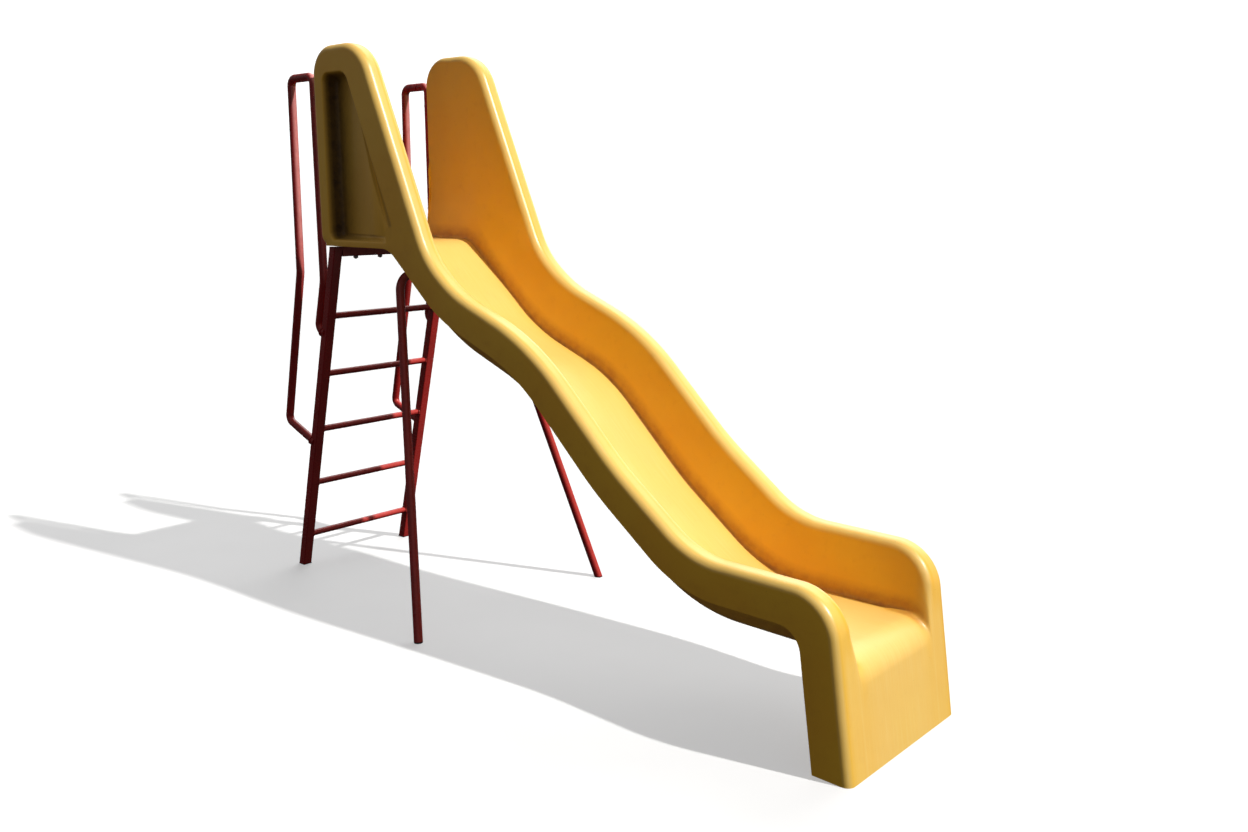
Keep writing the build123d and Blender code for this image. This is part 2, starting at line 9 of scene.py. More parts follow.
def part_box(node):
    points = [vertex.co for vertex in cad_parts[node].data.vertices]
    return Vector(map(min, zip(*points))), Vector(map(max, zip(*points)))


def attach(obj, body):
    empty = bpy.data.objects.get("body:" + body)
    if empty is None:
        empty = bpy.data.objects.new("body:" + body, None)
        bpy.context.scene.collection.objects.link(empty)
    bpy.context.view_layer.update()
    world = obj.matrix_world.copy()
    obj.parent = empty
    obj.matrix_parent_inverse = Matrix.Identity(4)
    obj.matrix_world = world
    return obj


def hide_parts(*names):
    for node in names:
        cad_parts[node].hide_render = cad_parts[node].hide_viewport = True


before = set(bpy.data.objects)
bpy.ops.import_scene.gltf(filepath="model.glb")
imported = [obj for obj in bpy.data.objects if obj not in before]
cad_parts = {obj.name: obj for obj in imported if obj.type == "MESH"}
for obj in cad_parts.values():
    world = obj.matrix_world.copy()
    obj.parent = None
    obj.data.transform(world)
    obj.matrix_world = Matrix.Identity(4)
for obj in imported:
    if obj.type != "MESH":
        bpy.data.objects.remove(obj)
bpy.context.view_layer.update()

# Playground wave slide: a glass-fibre chute moulded in one with its wings, on a red enamelled
# tube ladder with two hoop handrails and one bent-tube trestle. Metres, ground at Z = 0,
# X runs downhill, the rider's left is +Y.

# ------------------------------------------------------------------ sizes
bed_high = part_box("chute_bed")[1]
rail_low, rail_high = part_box("side_rail_left")
SKIN = 0.006
HALF_WIDTH = rail_high.y
REAR_X = rail_low.x
TOE_X = bed_high.x
DECK_Z = bed_high.z
WING_TOP = rail_high.z
LIP_Z = bed_high.z - 0.018
EXIT_Z = 0.341
APRON_LEAN = math.radians(8.5)
RAIL_HEIGHT = 0.212
SKIRT_RISE = 0.087              # skirt edge above the sliding surface
RIM_ROUND = 0.028
FLOOR_HALF = 0.214              # sliding surface, half its width
OPENING_HALF = 0.242            # between the rims, half the opening
FLOOR_ROUND = 0.016
EDGE_ROUND = 0.005              # rear edge of the wings, on the inside
WING_SLOPE = math.radians(24.3)
APRON_DEPTH = 0.125             # rim of the exit, from the apron to its free edge
CROWN_X = -0.747                # where the wing's top meets its slope
HEEL = 0.045                    # rim turned in under the rear of the wings
SLIVER = 0.001                  # keeps the first straights longer than nothing

# Bends of the rim and of the skirt, seen from the side.
REAR_BEND, CROWN_BEND, WING_FOOT_BEND, EXIT_BEND = 0.115, 0.175, 0.350, 0.155
SILL_BEND, SKIRT_EXIT_BEND, DECK_EDGE_BEND, NOSE_BEND = 0.120, 0.080, 0.012, 0.095

LADDER_FOOT_X = -1.401
LADDER_LEAN = 0.262             # run over rise
STRINGER = 0.040
STRINGER_ROUND = 0.005
CAP = 0.004                     # thickness of the stringer head caps
RUNG_RADIUS = 0.01345
TUBE_RADIUS = 0.01685
HOOP_Y = 0.285
POST_X = -1.112
HOOP_TOP = 2.102
HOOP_LOW_END, HOOP_HIGH_END = 0.588, 1.075
TIGHT_BEND, POST_FOOT_BEND, LONG_BEND = 0.030, 0.032, 0.150
SLEEVE_RADIUS = 0.011
SLEEVE_HEIGHTS = (1.580, 2.020)
TRESTLE_TOP_X, TRESTLE_TOP_Y = -0.668, 0.232
TRESTLE_FOOT_X, TRESTLE_FOOT_Y = -0.292, 0.489
TRESTLE_BEND = 0.080
FOOT_PLUG = 0.004               # thickness of the trestle's plugs

GELCOAT, ENAMEL, PLUG = "gelcoat_moulding", "red_steel", "black_plug"
GALVANISED, PLYWOOD = "galvanised_steel", "plywood_core"
FINISH = {
    GELCOAT: "yellow_polyester_gelcoat",
    ENAMEL: "red_stove_enamel",
    PLUG: "black_polythene",
    GALVANISED: "hot_dip_zinc",
    PLYWOOD: "marine_plywood",
}


# ------------------------------------------------------------------ side-view runs
def meet(a, b, c, d):
    """Point where the line a-b crosses the line c-d."""
    ux, uz = b[0] - a[0], b[1] - a[1]
    vx, vz = d[0] - c[0], d[1] - c[1]
    along = ((c[0] - a[0]) * vz - (c[1] - a[1]) * vx) / (ux * vz - uz * vx)
    return (a[0] + ux * along, a[1] + uz * along)


def shifted(a, b, gap):
    """The line a-b moved to its left by gap."""
    length = math.hypot(b[0] - a[0], b[1] - a[1])
    nx, nz = -(b[1] - a[1]) / length, (b[0] - a[0]) / length
    return (a[0] + nx * gap, a[1] + nz * gap), (b[0] + nx * gap, b[1] + nz * gap)


def beside(chain, gap):
    """A rounded chain (x, z, radius) moved to its left, its bends kept concentric."""
    lines = [shifted(chain[i], chain[i + 1], gap) for i in range(len(chain) - 1)]
    moved = [(*lines[0][0], 0.0)]
    for i in range(1, len(chain) - 1):
        (ax, az, _), (bx, bz, radius), (cx, cz, _) = chain[i - 1:i + 2]
        left = (bx - ax) * (cz - bz) - (bz - az) * (cx - bx) > 0
        moved.append((*meet(*lines[i - 1], *lines[i]), radius - gap if left else radius + gap))
    moved.append((*lines[-1][1], 0.0))
    return moved


class Run:
    """Straights and arcs through corners (x, z, radius), measured by distance along."""

    def __init__(self, corners):
        points = [Vector((x, z)) for x, z, r in corners]
        self.parts = []
        self.marks = [0.0]
        start = points[0]
        for i in range(1, len(points) - 1):
            radius = corners[i][2]
            ahead = (points[i + 1] - points[i]).normalized()
            back = (points[i - 1] - points[i]).normalized()
            half = back.angle(ahead) / 2.0
            tangent = radius / math.tan(half)
            first, last = points[i] + back * tangent, points[i] + ahead * tangent
            centre = points[i] + (back + ahead).normalized() * (radius / math.sin(half))
            sweep = (first - centre).angle_signed(last - centre)
            self.add(start, first, None, 0.0)
            self.add(first, last, centre, -sweep)
            start = last
        self.add(start, points[-1], None, 0.0)
        self.length = self.marks[-1]

    def add(self, a, b, centre, sweep):
        size = (b - a).length if centre is None else (a - centre).length * abs(sweep)
        self.parts.append((a, b, centre, sweep))
        self.marks.append(self.marks[-1] + size)

    def at(self, distance):
        """Point and left-hand normal at a distance along the run."""
        i = 0
        while i < len(self.parts) - 1 and distance > self.marks[i + 1]:
            i += 1
        a, b, centre, sweep = self.parts[i]
        size = max(self.marks[i + 1] - self.marks[i], 1e-9)
        share = min(max((distance - self.marks[i]) / size, 0.0), 1.0)
        if centre is None:
            way = (b - a).normalized()
            return a.lerp(b, share), Vector((-way.y, way.x))
        arm = Matrix.Rotation(sweep * share, 2) @ (a - centre)
        outward = arm.normalized()
        return centre + arm, outward if sweep < 0 else -outward


# Side view of the sliding surface as corners (x, z, bend radius), downhill from the platform.
toe = (TOE_X, 0.0)
nose = (TOE_X - math.tan(APRON_LEAN) * EXIT_Z, EXIT_Z)
floor_chain = [
    (REAR_X, DECK_Z, 0.0),
    (REAR_X + 0.305, DECK_Z, 0.130),
    (-0.361, 1.115, 0.780),
    (0.037, 0.964, 0.720),
    (0.406, 0.621, 1.500),
    (0.795, EXIT_Z, 0.560),
    (*nose, NOSE_BEND),
    (*toe, 0.0),
]
rail_chain = beside(floor_chain[:7], RAIL_HEIGHT)
skirt_chain = beside(floor_chain[:7], SKIRT_RISE)
crown = (CROWN_X, WING_TOP)
crown_below = (CROWN_X + math.tan(WING_SLOPE) * WING_TOP, 0.0)
wing_foot = meet(crown, crown_below, rail_chain[1], rail_chain[2])
exit_top = meet(rail_chain[5], rail_chain[6], nose, toe)
apron_inner = shifted(nose, toe, -APRON_DEPTH)
ground = ((0.0, 0.0), (1.0, 0.0))
sill = ((0.0, LIP_Z), (1.0, LIP_Z))

bed = Run([(REAR_X, LIP_Z, 0.0), (REAR_X, DECK_Z, DECK_EDGE_BEND), *floor_chain[1:]])
heel_x = REAR_X + HEEL + SLIVER
rim = Run([(heel_x, LIP_Z, 0.0), (REAR_X, LIP_Z, HEEL), (REAR_X, WING_TOP, REAR_BEND),
           (*crown, CROWN_BEND), (*wing_foot, WING_FOOT_BEND), *rail_chain[2:6],
           (*exit_top, EXIT_BEND), (*toe, 0.0)])
skirt = Run([(heel_x, LIP_Z + RIM_ROUND, 0.0), (heel_x, LIP_Z, SLIVER),
             (*meet(skirt_chain[1], skirt_chain[2], *sill), SILL_BEND), *skirt_chain[2:6],
             (*meet(skirt_chain[5], skirt_chain[6], *apron_inner), SKIRT_EXIT_BEND),
             (*meet(*apron_inner, *ground), 0.0)])


def beyond(run, mark, gap):
    """Distance along a run, a gap past one of its marks."""
    return run.marks[mark] + gap


# Stations where the bed, the rim and the skirt edge are paired, with the cuts between them.
# Marks count the ends of each straight and arc: 2k-1 opens the bend at corner k, 2k closes it.
exit_level = rim.at(rim.marks[17])[0].x - bed.at(bed.marks[12])[0].x
foot_gap = rim.marks[9] - rim.marks[8]
crown_slope = rim.marks[7] - rim.marks[6]
stations = [
    (0.0, 0.0, 0.0, 8),
    (bed.marks[1], rim.marks[2], skirt.marks[1], 14),
    (bed.marks[2], rim.marks[3], beyond(skirt, 2, 0.012), 14),
    (beyond(bed, 2, 0.085), rim.marks[4], beyond(skirt, 2, 0.060), 3),
    (beyond(bed, 2, 0.135), rim.marks[5], beyond(skirt, 2, 0.110), 14),
    (bed.marks[3], rim.marks[6], beyond(skirt, 3, -0.080), 8),
    (bed.marks[4], beyond(rim, 6, 0.4 * crown_slope), skirt.marks[3], 10),
    (beyond(bed, 4, 0.150), rim.marks[7], skirt.marks[4], 12),
    (bed.marks[5] - foot_gap, rim.marks[8], skirt.marks[5] - foot_gap, 2),
]
for corner in range(4):
    b, r, s = 5 + 2 * corner, 9 + 2 * corner, 5 + 2 * corner
    stations.append((bed.marks[b], rim.marks[r], skirt.marks[s], 20))
    stations.append((bed.marks[b + 1], rim.marks[r + 1], skirt.marks[s + 1], 8))
nose_middle = (bed.marks[13] + bed.marks[14]) / 2.0
exit_corner_middle = (skirt.marks[13] + skirt.marks[14]) / 2.0
apron_length = bed.length - bed.marks[14]
stations += [
    (beyond(bed, 12, exit_level), rim.marks[17], skirt.marks[13], 14),
    (nose_middle, rim.marks[18], exit_corner_middle, 10),
    (bed.marks[14], rim.length - apron_length, skirt.marks[14], 10),
    (bed.length, rim.length, skirt.length, 0),
]

# ------------------------------------------------------------------ moulding
FLOOR_ROWS, ROUND_ROWS, WALL_ROWS, RIM_ROWS, TOP_ROWS = 6, 6, 9, 8, 3
ROW_COUNT = FLOOR_ROWS + ROUND_ROWS + WALL_ROWS + 2 * RIM_ROWS + TOP_ROWS + 2


def ease(value, low, high):
    """0 below low, 1 above high, and smooth between."""
    t = min(max((value - low) / (high - low), 0.0), 1.0)
    return t * t * (3.0 - 2.0 * t)


def paired(column):
    """Distances along bed, rim and skirt at a column, counted in cuts."""
    for here, ahead in zip(stations, stations[1:]):
        if column <= here[3]:
            share = column / here[3]
            return [here[i] + (ahead[i] - here[i]) * share for i in range(3)]
        column -= here[3]
    return list(stations[-1][:3])


COLUMN_COUNT = sum(cuts for *_, cuts in stations)
floor_samples = [bed.at(bed.length * k / 400.0)[0] for k in range(401)]


def section(column):
    """One half of the cross-section: (x, y, z, distance along the bed, painted shade, wear paling
    with painted highlight) from the middle to the skirt edge.
    """
    b, r, s = paired(column)
    low, low_normal = bed.at(b)
    top, top_normal = rim.at(r)
    edge = skirt.at(s)[0]
    height = (top - low).length
    up = (top - low).normalized() if height > 1e-4 else low_normal
    bend = ease(r, 0.08, 0.16) * EDGE_ROUND
    bend += ease(r, rim.marks[3], rim.marks[5]) * (RIM_ROUND - EDGE_ROUND)
    round_rise = min(FLOOR_ROUND, 0.30 * height)
    room = (top - low).dot(top_normal) if b > bed.marks[12] else height - round_rise
    bend_drop = min(bend, 0.9 * max(room, 0.0))
    # Painted shade in the corner between floor and wall, fading out where the wall is low.
    shade_reach = ease(height, 0.05, 0.15)
    # Wear paling with a painted highlight over the nose and the exit front, and where the walls
    # close down near the exit.
    closing = (1.0 - ease(height, 0.03, 0.16)) * ease(b, bed.marks[12], bed.marks[13])
    exit_fade_and_highlight = 0.8 * max(ease(b, bed.marks[13], bed.marks[14]), closing)
    rows = []
    floor_flat = FLOOR_HALF - FLOOR_ROUND
    # Floor: wear paling and painted highlight, strongest in the middle.
    for k in range(FLOOR_ROWS + 1):
        y = floor_flat * k / FLOOR_ROWS
        rows.append((low, y, 0.0, 1.0 - 0.4 * ease(y, 0.15, 0.21)))
    # Floor round: full painted shade in the corner, with a little wear paling and painted
    # highlight.
    for k in range(1, ROUND_ROWS + 1):
        a = math.radians(90.0 * k / ROUND_ROWS)
        point = low + up * round_rise * (1.0 - math.cos(a))
        rows.append((point, floor_flat + FLOOR_ROUND * math.sin(a), shade_reach, 0.3 * math.cos(a)))
    wall_low = low + up * round_rise
    wall_top = top - top_normal * bend_drop
    reach = RAIL_HEIGHT - FLOOR_ROUND - RIM_ROUND
    level = height < 0.99 * RAIL_HEIGHT
    for k in range(1, WALL_ROWS + 1):
        share = (k / WALL_ROWS) ** 1.25
        point = wall_low.lerp(wall_top, share)
        lift = min((point - f).length for f in floor_samples) - round_rise
        lift = (point - wall_low).length if level else lift
        spread = min(max(lift / reach, 0.0), 1.0)
        y = FLOOR_HALF + (OPENING_HALF - FLOOR_HALF) * spread
        rows.append((point, y, shade_reach * (1.0 - ease(lift, 0.0, 0.045)), 0.0))
    inner_y = rows[-1][1]
    # Inner rim rounding: wear paling and painted highlight, strongest midway round.
    for k in range(1, RIM_ROWS + 1):
        a = math.radians(90.0 * k / RIM_ROWS)
        point = top - top_normal * bend_drop * (1.0 - math.sin(a))
        rows.append((point, inner_y + bend * (1.0 - math.cos(a)), 0.0, math.sin(2.0 * a)))
    flat_low, flat_high = inner_y + bend, HALF_WIDTH - RIM_ROUND
    # Rim top: half the wear paling and painted highlight.
    for k in range(1, TOP_ROWS + 1):
        rows.append((top, flat_low + (flat_high - flat_low) * k / TOP_ROWS, 0.0, 0.5))
    level_back = Vector((-RIM_ROUND / max(top_normal.x, 0.5), 0.0))
    inward = (-top_normal * RIM_ROUND).lerp(level_back, 1.0 - ease(top.y, 0.0, 0.12))
    # Outer rim rounding: wear paling and painted highlight, strongest midway round.
    for k in range(1, RIM_ROWS + 1):
        a = math.radians(90.0 * k / RIM_ROWS)
        point = top + inward * (1.0 - math.cos(a))
        rows.append((point, flat_high + RIM_ROUND * math.sin(a), 0.0, math.sin(2.0 * a)))
    # Skirt's lower edge: a little painted shade.
    rows.append((edge, HALF_WIDTH, 0.3, 0.0))
    return [(p.x, y, p.y, b, grime, max(rub, exit_fade_and_highlight if y < flat_high else rub))
            for p, y, grime, rub in rows]


POCKET_REAR = REAR_X + 0.070
POCKET_TOP = WING_TOP - 0.100
POCKET_SILL = LIP_Z + 0.018
POCKET_DEPTH, POCKET_LENGTH = 0.065, 0.337
POCKET_FRONT_GAP = 0.125        # from the wing's sloping front to the pocket
POCKET_FRONT_CUT, POCKET_CORNER_CUT = 0.085, 0.038
# Share of the depth reached at each distance in from the pocket's edge.
POCKET_WALL = [(0.003, 0.03), (0.006, 0.11), (0.009, 0.26), (0.012, 0.47), (0.015, 0.67),
               (0.018, 0.82), (0.022, 0.92), (0.027, 0.98), (0.033, 1.0)]


def pocket_patch():
    """Hand pocket in the wing's outer face: deep behind its rear flange, flush in front."""
    front = shifted(crown, crown_below, -POCKET_FRONT_GAP)
    top = ((0.0, POCKET_TOP), (1.0, POCKET_TOP))
    bottom = ((0.0, POCKET_SILL), (1.0, POCKET_SILL))
    corners = [(POCKET_REAR, POCKET_SILL), meet(*front, *bottom), meet(*front, *top),
               (POCKET_REAR, POCKET_TOP)]
    bm = bmesh.new()
    # Painted pocket shade per vertex.
    stain = bm.verts.layers.float.new("stain")
    sunk = bm.verts.layers.float.new("sunk")
    ring = [bm.verts.new((x, HALF_WIDTH, z)) for x, z in corners]
    bmesh.ops.contextual_create(bm, geom=ring)
    for corner in (1, 0, 2, 3):
        cut_back = POCKET_FRONT_CUT if corner == 1 else POCKET_CORNER_CUT
        bmesh.ops.bevel(bm, geom=[ring[corner]], offset=cut_back, affect="VERTICES", segments=8,
                        profile=0.5, material=-1)
    well = list(bm.faces)[0]
    so_far = 0.0
    for inset, share in POCKET_WALL:
        bmesh.ops.inset_region(bm, faces=[well], thickness=inset - so_far, depth=0.0,
                               use_boundary=True, use_even_offset=True)
        so_far = inset
        for v in well.verts:
            v[sunk] = share
    cut = [well]
    for k in range(1, 16):
        x = POCKET_REAR + POCKET_LENGTH * k / 13.0
        parts = cut + list({e for f in cut for e in f.edges})
        parts += list({v for f in cut for v in f.verts})
        out = bmesh.ops.bisect_plane(bm, geom=parts, plane_co=(x, 0, 0), plane_no=(1, 0, 0))
        cut = [g for g in out["geom"] if isinstance(g, bmesh.types.BMFace)]
    for v in bm.verts:
        along = (v.co.x - POCKET_REAR) / POCKET_LENGTH
        depth = POCKET_DEPTH * max(0.0, 1.0 - along) * ease(1.0 - along, -0.02, 0.30)
        v.co.y -= depth * v[sunk]
        # Painted shade in the pocket: darkest at its rear and where it is deepest, fading forward.
        v[stain] = min(1.0, 1.1 * (1.0 - along) ** 2) * min(1.0, 3.0 * v[sunk])
    bm.verts.layers.float.remove(sunk)
    mesh = bpy.data.meshes.new("pocket")
    bm.to_mesh(mesh)
    bm.free()
    return mesh


def thickened(bm):
    """The skin as a new bmesh, with the laminate's thickness added behind it."""
    mesh = bpy.data.meshes.new("skin")
    bm.to_mesh(mesh)
    bm.free()
    holder = bpy.data.objects.new("skin", mesh)
    bpy.context.scene.collection.objects.link(holder)
    laminate = holder.modifiers.new("laminate", "SOLIDIFY")
    laminate.thickness = SKIN
    laminate.offset = -1.0
    laminate.use_even_offset = False
    graph = bpy.context.evaluated_depsgraph_get()
    shell = bpy.data.meshes.new_from_object(holder.evaluated_get(graph))
    bpy.data.objects.remove(holder)
    solid = bmesh.new()
    solid.from_mesh(shell)
    return solid


def chute_moulding():
    """The whole glass-fibre shell as one skin with its thickness."""
    bm = bmesh.new()
    # Vertex layers: painted shade, painted pocket shade, wear paling with painted highlight, and
    # the bed distance and width that lay out the scratches.
    grime = bm.verts.layers.float.new("grime")
    bm.verts.layers.float.new("stain")
    rub = bm.verts.layers.float.new("rub")
    along = bm.verts.layers.float.new("along")
    across = bm.verts.layers.float.new("across")
    bmesh.ops.create_grid(bm, x_segments=COLUMN_COUNT, y_segments=ROW_COUNT - 1, size=1.0)
    sections = [section(c) for c in range(COLUMN_COUNT + 1)]
    for v in bm.verts:
        column = round((v.co.x + 1.0) / 2.0 * COLUMN_COUNT)
        row = round((v.co.y + 1.0) / 2.0 * (ROW_COUNT - 1))
        # Each vertex takes its section's painted shade and its wear paling with painted highlight.
        x, y, z, run, shade_amount, paleness = sections[column][row]
        v.co = (x, y, z)
        v[grime], v[rub], v[along], v[across] = shade_amount, paleness, run, y
        v.tag = row >= ROW_COUNT - 2
    outer = [f for f in bm.faces if all(v.tag for v in f.verts)]
    # Inner corner where the rail meets the exit's front: relaxed, so the surface has no groove.
    lips = [v for v in bm.verts if v.co.x > 1.25 and 0.185 < v.co.y < 0.285
            and 0.22 < v.co.z < 0.43 and not v.is_boundary]
    for _ in range(12):
        bmesh.ops.smooth_vert(bm, verts=lips, factor=0.5, use_axis_x=True, use_axis_y=True,
                              use_axis_z=True)
    bmesh.ops.delete(bm, geom=outer, context="FACES_KEEP_BOUNDARY")
    bmesh.ops.remove_doubles(bm, verts=bm.verts, dist=1e-5)
    bm.from_mesh(pocket_patch())
    rim_edges = [e for e in bm.edges if len(e.link_faces) < 2
                 and all(abs(v.co.y - HALF_WIDTH) < 1e-5 for v in e.verts)]
    bmesh.ops.triangle_fill(bm, edges=rim_edges, use_beauty=True, use_dissolve=False,
                            normal=(0, 1, 0))
    whole = list(bm.verts) + list(bm.edges) + list(bm.faces)
    bmesh.ops.mirror(bm, geom=whole, matrix=Matrix.Identity(4), merge_dist=1e-5, axis="Y")
    bmesh.ops.remove_doubles(bm, verts=bm.verts, dist=2e-5)
    bmesh.ops.recalc_face_normals(bm, faces=bm.faces)
    deck = max((f for f in bm.faces if abs(f.calc_center_median().y) < 0.1),
               key=lambda f: f.calc_center_median().z)
    if deck.normal.z < 0:
        bmesh.ops.reverse_faces(bm, faces=bm.faces)
    shell = thickened(bm)
    for v in shell.verts:
        v.co.z = max(v.co.z, 0.0)
    return shell


# ------------------------------------------------------------------ finishing pieces
def finish_piece(name, bm, slot, nodes=(), crease=38.0, bevel=0.0):
    """Mesh object from a bmesh: smooth with marked creases, riding on the slide."""
    for f in bm.faces:
        f.smooth = True
    for e in bm.edges:
        if len(e.link_faces) == 2:
            e.smooth = e.calc_face_angle(0.0) < math.radians(crease)
    mesh = bpy.data.meshes.new(name)
    bm.to_mesh(mesh)
    bm.free()
    piece = bpy.data.objects.new(name, mesh)
    bpy.context.scene.collection.objects.link(piece)
    if bevel > 0.0:
        soften = piece.modifiers.new("soften", "BEVEL")
        soften.width = bevel
        soften.segments = 3
        soften.limit_method = "ANGLE"
    level = piece.modifiers.new("even_shading", "WEIGHTED_NORMAL")
    level.keep_sharp = True
    mesh.materials.append(bpy.data.materials[FINISH[slot]])
    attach(piece, "root")
    if nodes:
        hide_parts(*nodes)
    return piece


# ------------------------------------------------------------------ materials
def paint(code):
    """sRGB hex colour as linear RGBA."""
    levels = [int(code[i:i + 2], 16) / 255.0 for i in (1, 3, 5)]
    return [c / 12.92 if c <= 0.04045 else ((c + 0.055) / 1.055) ** 2.4 for c in levels] + [1.0]


def blotch(size_mm):
    """Texture scale whose blotches are about size_mm across."""
    return 1000.0 / size_mm


def place(tree, kind, output=None, inputs=None, **settings):
    """Adds a node with its settings and its inputs (values or sockets), and gives an output."""
    made = tree.nodes.new(kind)
    for key, value in settings.items():
        setattr(made, key, value)
    for key, value in (inputs or {}).items():
        if isinstance(value, bpy.types.NodeSocket):
            tree.links.new(value, made.inputs[key])
        else:
            made.inputs[key].default_value = value
    return None if output is None else made.outputs[output]


def new_finish(name):
    """Node tree of a new, empty material."""
    finish = bpy.data.materials.new(name)
    finish.use_nodes = True
    finish.node_tree.nodes.clear()
    return finish.node_tree


RANGE, MIX, MATH = "ShaderNodeMapRange", "ShaderNodeMix", "ShaderNodeMath"
NOISE, BUMP = "ShaderNodeTexNoise", "ShaderNodeBump"
SHADER, SURFACE = "ShaderNodeBsdfPrincipled", "ShaderNodeOutputMaterial"
SOFT = {"interpolation_type": "SMOOTHSTEP"}
COLOURS = {"data_type": "RGBA", "clamp_factor": True}
TIMES, PLUS = {"operation": "MULTIPLY"}, {"operation": "ADD"}

# Polyester gelcoat over glass fibre, sprayed into a polished mould: glossy yellow with a faint
# orange peel, paler on the sliding surface, the rims and the exit front from wear and a painted
# highlight, fine scratches along the slide, painted shade in the corner between floor and wall and
# along the skirt's lower edge, and dark brown painted shade in the hand pockets.
# Real orange peel, specks and scratches are finer than these: they are drawn coarser to show.
tree = new_finish(FINISH[GELCOAT])
where = place(tree, "ShaderNodeTexCoord", "Object")
# Painted shade, painted pocket shade and wear paling with painted highlight, read from the vertex
# layers.
painted_shade_mark = place(tree, "ShaderNodeAttribute", "Fac", attribute_name="grime")
pocket_shade_mark = place(tree, "ShaderNodeAttribute", "Fac", attribute_name="stain")
wear_and_highlight_mark = place(tree, "ShaderNodeAttribute", "Fac", attribute_name="rub")
run_mark = place(tree, "ShaderNodeAttribute", "Fac", attribute_name="along")
cross_mark = place(tree, "ShaderNodeAttribute", "Fac", attribute_name="across")
drawn_out = place(tree, MATH, 0, {0: run_mark, 1: 0.02}, **TIMES)
lane = place(tree, "ShaderNodeCombineXYZ", 0, {"X": drawn_out, "Y": cross_mark})
cloud = place(tree, NOISE, "Fac", {"Vector": where, "Scale": blotch(420.0), "Detail": 3.0,
                                   "Roughness": 0.55})
mottle = place(tree, NOISE, "Fac", {"Vector": where, "Scale": blotch(38.0), "Detail": 5.0,
                                    "Roughness": 0.65})
speck = place(tree, NOISE, "Fac", {"Vector": where, "Scale": blotch(7.0), "Detail": 2.0,
                                   "Roughness": 0.55})
scratch = place(tree, NOISE, "Fac", {"Vector": lane, "Scale": blotch(4.0), "Detail": 6.0,
                                     "Roughness": 0.7})
peel = place(tree, NOISE, "Fac", {"Vector": where, "Scale": blotch(5.0), "Detail": 2.0,
                                  "Roughness": 0.55})
sway = place(tree, NOISE, "Fac", {"Vector": where, "Scale": blotch(170.0), "Detail": 2.0,
                                  "Roughness": 0.55})
uneven = place(tree, RANGE, 0, {"Value": cloud, "From Min": 0.35, "From Max": 0.68}, **SOFT)
duller = place(tree, RANGE, 0, {"Value": mottle, "From Min": 0.52, "From Max": 0.78,
                                "To Max": 0.30}, **SOFT)
worn = place(tree, RANGE, 0, {"Value": scratch, "From Min": 0.40, "From Max": 0.72,
                              "To Min": 0.42, "To Max": 0.62}, **SOFT)
patchy = place(tree, RANGE, 0, {"Value": mottle, "From Min": 0.30, "From Max": 0.70,
                                "To Min": 0.42, "To Max": 0.66}, **SOFT)
pocket_shade_mottle = place(tree, RANGE, 0, {"Value": mottle, "From Min": 0.30, "From Max": 0.65,
                                "To Min": 0.98, "To Max": 0.88}, **SOFT)
spots = place(tree, RANGE, 0, {"Value": speck, "From Min": 0.72, "From Max": 0.80,
                               "To Max": 0.30}, **SOFT)
# Wear paling with a painted highlight on the floor, the rims and the exit front, broken up by the
# scratches.
bleach_and_highlight = place(tree, MATH, 0, {0: wear_and_highlight_mark, 1: worn}, **TIMES)
# Painted shade in the floor-to-wall corner and on the skirt's lower edge, made patchy.
patchy_painted_shade = place(tree, MATH, 0, {0: painted_shade_mark, 1: patchy}, **TIMES)
# Dark brown painted shade in the hand pockets, made patchy.
stain = place(tree, MATH, 0, {0: pocket_shade_mark, 1: pocket_shade_mottle}, **TIMES)
body = place(tree, MIX, 2, {0: uneven, 6: paint("#F1BA2C"), 7: paint("#EEB124")}, **COLOURS)
# Tints over the body: duller mottling, wear paling with painted highlight, painted shade, dark
# brown painted pocket shade and specks of dirt.
for amount, tint in ((duller, "#DCA022"), (bleach_and_highlight, "#F6DA92"), (patchy_painted_shade, "#A8601A"),
                     (stain, "#341A04"), (spots, "#7A4E14")):
    body = place(tree, MIX, 2, {0: amount, 6: body, 7: paint(tint)}, **COLOURS)
scuff = place(tree, RANGE, 0, {"Value": scratch, "From Min": 0.42, "From Max": 0.70,
                               "To Max": 0.12}, **SOFT)
rough = place(tree, RANGE, 0, {"Value": cloud, "From Min": 0.3, "From Max": 0.7,
                               "To Min": 0.38, "To Max": 0.46}, **SOFT)
# Rougher on the wear paling with painted highlight, in the painted shade and in the painted pocket
# shade.
for mark, more in ((wear_and_highlight_mark, scuff), (patchy_painted_shade, 0.25), (pocket_shade_mark, 0.45)):
    extra = place(tree, MATH, 0, {0: mark, 1: more}, **TIMES)
    rough = place(tree, MATH, 0, {0: rough, 1: extra}, **PLUS)
relief = place(tree, BUMP, 0, {"Strength": 0.10, "Distance": 0.0012, "Height": peel})
relief = place(tree, BUMP, 0, {"Strength": 0.35, "Distance": 0.010, "Height": sway,
                               "Normal": relief})
relief = place(tree, BUMP, 0, {"Strength": 0.12, "Distance": 0.0006, "Height": scratch,
                               "Normal": relief})
surface = place(tree, SHADER, 0, {"Base Color": body, "Roughness": rough, "Normal": relief,
                                  "IOR": 1.50, "Coat Weight": 0.35, "Coat Roughness": 0.28})
place(tree, SURFACE, None, {"Surface": surface})

